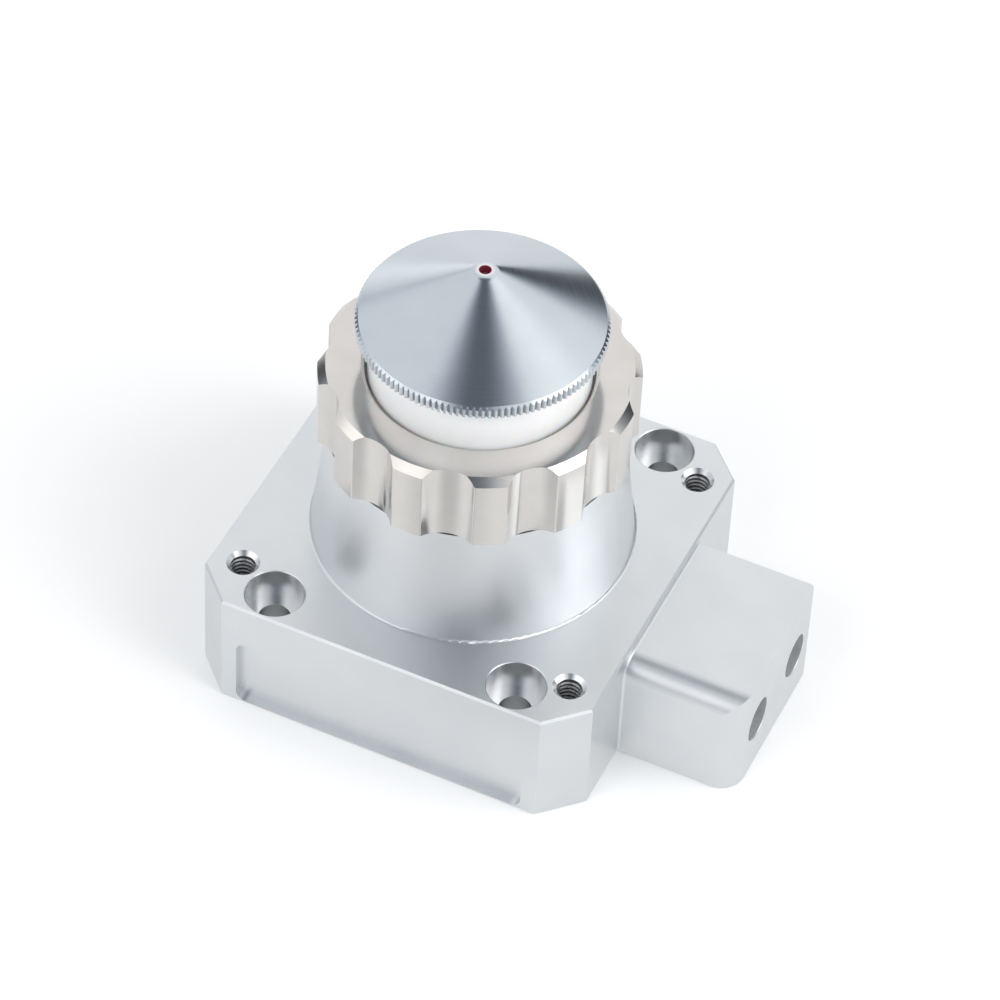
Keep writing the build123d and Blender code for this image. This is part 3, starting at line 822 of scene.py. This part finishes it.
print("Made", gold_finish.name, tin_finish.name, spring_finish.name, pin_finish.name, brass_finish.name)

# %% [markdown]
# ## Dressing the solids
# Each solid names the material slot that it belongs to. Every solid could be dressed by name, but
# a table from slot to finish dresses all of them, so one added later needs no line of its own.

# %% Finish for each slot
FINISHES = {
    "body_aluminium": body_finish,
    "nut_steel": nut_finish,
    "white_ceramic": ceramic_finish,
    "nozzle_chrome": nozzle_finish,
    "insert_brass": brass_finish,
    "seal_rubber": rubber_finish,
    "white_insulator": insulator_finish,
    "contact_metal": gold_finish,
    "wire_metal": tin_finish,
    "spring_steel": spring_finish,
    "pin_steel": pin_finish,
}

for part in record["subparts"]:
    solid = nodes[part["node"]]
    solid.material_slots[0].material = FINISHES[part["material_slot"]]
print("Dressed", len(record["subparts"]), "solids")

# %% [markdown]
# ## Threads in the side holes
# The four side holes are tapped for M4 screws, and the photograph shows their ridges. A bump would
# leave the hole's outline smooth. A thread is a small profile swept along a helix, and the spin
# operator does exactly that when each step also moves the profile down a little. The ridge starts
# below the countersink, its foot lies just inside the hole's wall, and both its ends are closed.

# %% Ridge of one tapped hole
THREAD_PITCH = 0.7 * MM
THREAD_TURNS = 13
THREAD_HEIGHT = 0.13 * MM
THREAD_FOOT = 0.02 * MM
THREAD_FOOT_W = 0.56 * MM
THREAD_CREST_W = 0.1 * MM
STEPS_PER_TURN = 32


def only_verts(geometry):
    """The vertices in a list of mixed geometry."""
    return [part for part in geometry if isinstance(part, bmesh.types.BMVert)]


def thread_ridge(bm):
    """Adds a closed helical ridge round the Z axis, from the countersink down."""
    foot_r = tapped_r + THREAD_FOOT
    crest_r = tapped_r - THREAD_HEIGHT
    middle = thread_top - THREAD_FOOT_W / 2
    corners = [
        (foot_r, middle + THREAD_FOOT_W / 2),
        (crest_r, middle + THREAD_CREST_W / 2),
        (crest_r, middle - THREAD_CREST_W / 2),
        (foot_r, middle - THREAD_FOOT_W / 2),
    ]
    start = [bm.verts.new((r, 0, z)) for r, z in corners]
    loop = [bm.edges.new((start[i - 1], start[i])) for i in range(len(start))]
    swept = bmesh.ops.spin(
        bm,
        geom=start + loop,
        cent=(0, 0, 0),
        axis=(0, 0, -1),
        dvec=(0, 0, -THREAD_PITCH / STEPS_PER_TURN),
        angle=THREAD_TURNS * 2 * math.pi,
        steps=THREAD_TURNS * STEPS_PER_TURN,
        use_merge=False,
    )
    bmesh.ops.contextual_create(bm, geom=start)
    bmesh.ops.contextual_create(bm, geom=only_verts(swept["geom_last"]))
    bmesh.ops.recalc_face_normals(bm, faces=bm.faces)


bm = bmesh.new()
thread_ridge(bm)
print("One ridge:", len(bm.faces), "faces")

# %% [markdown]
# Four ridges could be swept one by one, but they are all alike. So one is swept round the beam
# axis, where the spin is simplest, and copied to each corner of the flange. No tapped hole is on
# the axis, so the first ridge is deleted once the copies are made.

# %% Threads in all four holes
first = list(bm.verts) + list(bm.edges) + list(bm.faces)
away_x, away_y = spacing(tapped_holes)
for side_x in (-1, 1):
    for side_y in (-1, 1):
        copy = bmesh.ops.duplicate(bm, geom=first)
        bmesh.ops.translate(bm, verts=only_verts(copy["geom"]), vec=(side_x * away_x, side_y * away_y, 0))
bmesh.ops.delete(bm, geom=only_verts(first), context="VERTS")
side_threads_mesh = bpy.data.meshes.new("side_threads")
bm.to_mesh(side_threads_mesh)
bm.free()
side_threads = bpy.data.objects.new("side_threads", side_threads_mesh)
bpy.context.scene.collection.objects.link(side_threads)
side_threads_mesh.materials.append(body_finish)
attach(side_threads, "body")
print("Side threads:", len(side_threads_mesh.polygons), "faces")

# %% [markdown]
# ## The probe's spring
# Behind the sprung contact sits a coil of real spring wire. When the contact is pressed in, the
# coil shortens between its seat and the contact's collar, and a solid can't do that. So a copy of
# the coil stands for the solid, which is hidden. The imported mesh is loose triangles, so the
# copy's points are merged first, which lets its shading run smooth.

# %% Copy of the coil
MERGE = 0.0005 * MM

coil_mesh = nodes["probe_spring"].data.copy()
coil_mesh.name = "coil_spring"
bm = bmesh.new()
bm.from_mesh(coil_mesh)
bmesh.ops.remove_doubles(bm, verts=bm.verts, dist=MERGE)
bm.to_mesh(coil_mesh)
bm.free()
coil_mesh.shade_smooth()
coil_spring = bpy.data.objects.new("coil_spring", coil_mesh)
bpy.context.scene.collection.objects.link(coil_spring)
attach(coil_spring, "body")
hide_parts("probe_spring")
print("Coil:", len(coil_mesh.vertices), "points")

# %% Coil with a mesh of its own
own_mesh(coil_spring)
